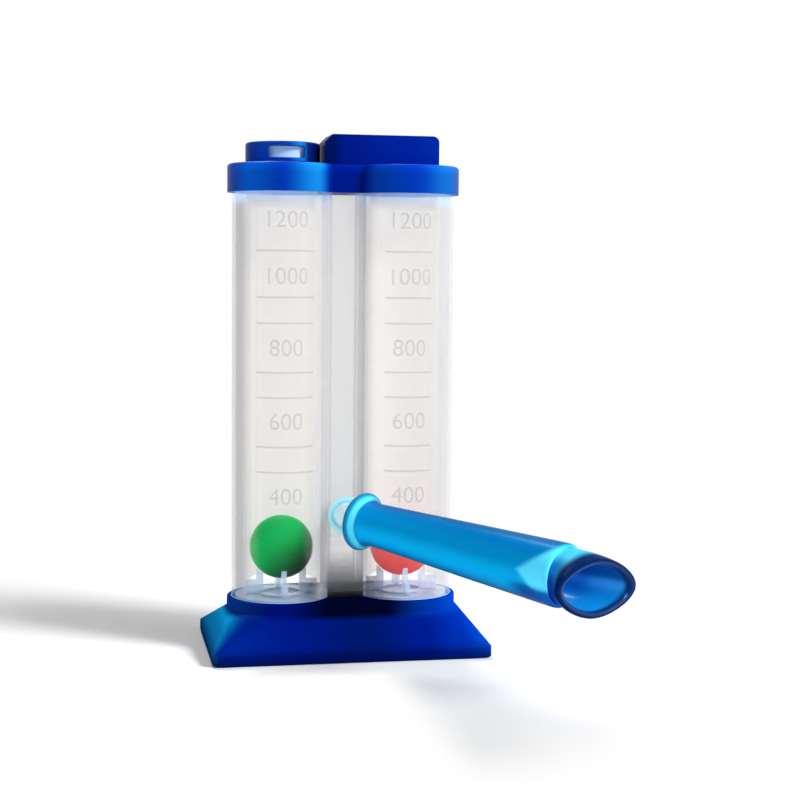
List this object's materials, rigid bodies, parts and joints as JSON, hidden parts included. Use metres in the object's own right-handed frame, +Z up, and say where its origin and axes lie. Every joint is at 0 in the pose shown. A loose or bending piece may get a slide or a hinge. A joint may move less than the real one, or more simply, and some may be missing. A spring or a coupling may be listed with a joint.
{
  "type": "incentive spirometer",
  "caption": "Upright breathing exerciser: twin clear ball columns on a sloped blue foot, under a blue cap with a dial, and a swivelling blue mouth tube at the front.",
  "frame": {"origin": "middle of the base's underside, on the surface that it stands on", "axes": "+Z up along the columns, -Y to the front where the port is, +X to the red ball's side"},
  "size_m": [0.1427, 0.1633, 0.2013],
  "materials": {
    "blue_plastic": "moulded gloss",
    "clear_plastic": "moulded clear",
    "frosted_plastic": "moulded, slightly milky",
    "printed_film": "clear film, grey print",
    "green_plastic": "moulded gloss",
    "red_plastic": "moulded gloss",
    "pale_plastic": "moulded satin",
    "seal_rubber": "moulded matt",
    "translucent_blue": "moulded translucent"
  },
  "bodies": {
    "housing": {"base_pedestal": "blue_plastic", "top_cap": "blue_plastic", "bridge_block": "blue_plastic", "left_column": "clear_plastic", "right_column": "clear_plastic", "duct_front_wall": "clear_plastic", "duct_back_wall": "clear_plastic", "left_flow_tube": "frosted_plastic", "right_flow_tube": "frosted_plastic", "left_ball_seat": "frosted_plastic", "right_ball_seat": "frosted_plastic", "left_ball_stop": "frosted_plastic", "right_ball_stop": "frosted_plastic", "left_scale_label": "printed_film", "right_scale_label": "printed_film", "setting_ring": "pale_plastic", "dial_pin": "pale_plastic", "cap_gasket": "seal_rubber", "dial_gasket": "seal_rubber"},
    "green_ball": {"green_ball": "green_plastic"},
    "red_ball": {"red_ball": "red_plastic"},
    "flow_dial": {"flow_dial": "blue_plastic"},
    "elbow": {"port_elbow": "clear_plastic", "elbow_o_ring": "seal_rubber"},
    "mouthpiece": {"mouthpiece_tube": "translucent_blue"},
    "mouth_bit": {"mouth_bit": "translucent_blue"}
  },
  "joints": [
    {"name": "green_ball_lift", "type": "slide", "parent": "housing", "child": "green_ball", "axis": [0, 0, 1], "range_m": [0, 0.1285]},
    {"name": "red_ball_lift", "type": "slide", "parent": "housing", "child": "red_ball", "axis": [0, 0, 1], "range_m": [0, 0.1285]},
    {"name": "dial_turn", "type": "hinge", "parent": "housing", "child": "flow_dial", "pos_m": [-0.0242, 0, 0.194], "axis": [0, 0, 1], "range_deg": [-90, 90]},
    {"name": "elbow_swivel", "type": "hinge", "parent": "housing", "child": "elbow", "pos_m": [0, -0.014, 0.0534], "axis": [0, -1, 0], "range_deg": [-15, 215]},
    {"name": "mouthpiece_twist", "type": "hinge", "parent": "elbow", "child": "mouthpiece", "pos_m": [0, -0.02, 0.0534], "axis": [0.5957, -0.7986, -0.0858], "continuous": true},
    {"name": "bit_pull", "type": "slide", "parent": "mouthpiece", "child": "mouth_bit", "axis": [0.5957, -0.7986, -0.0858], "range_m": [0, 0.0078]}
  ]
}
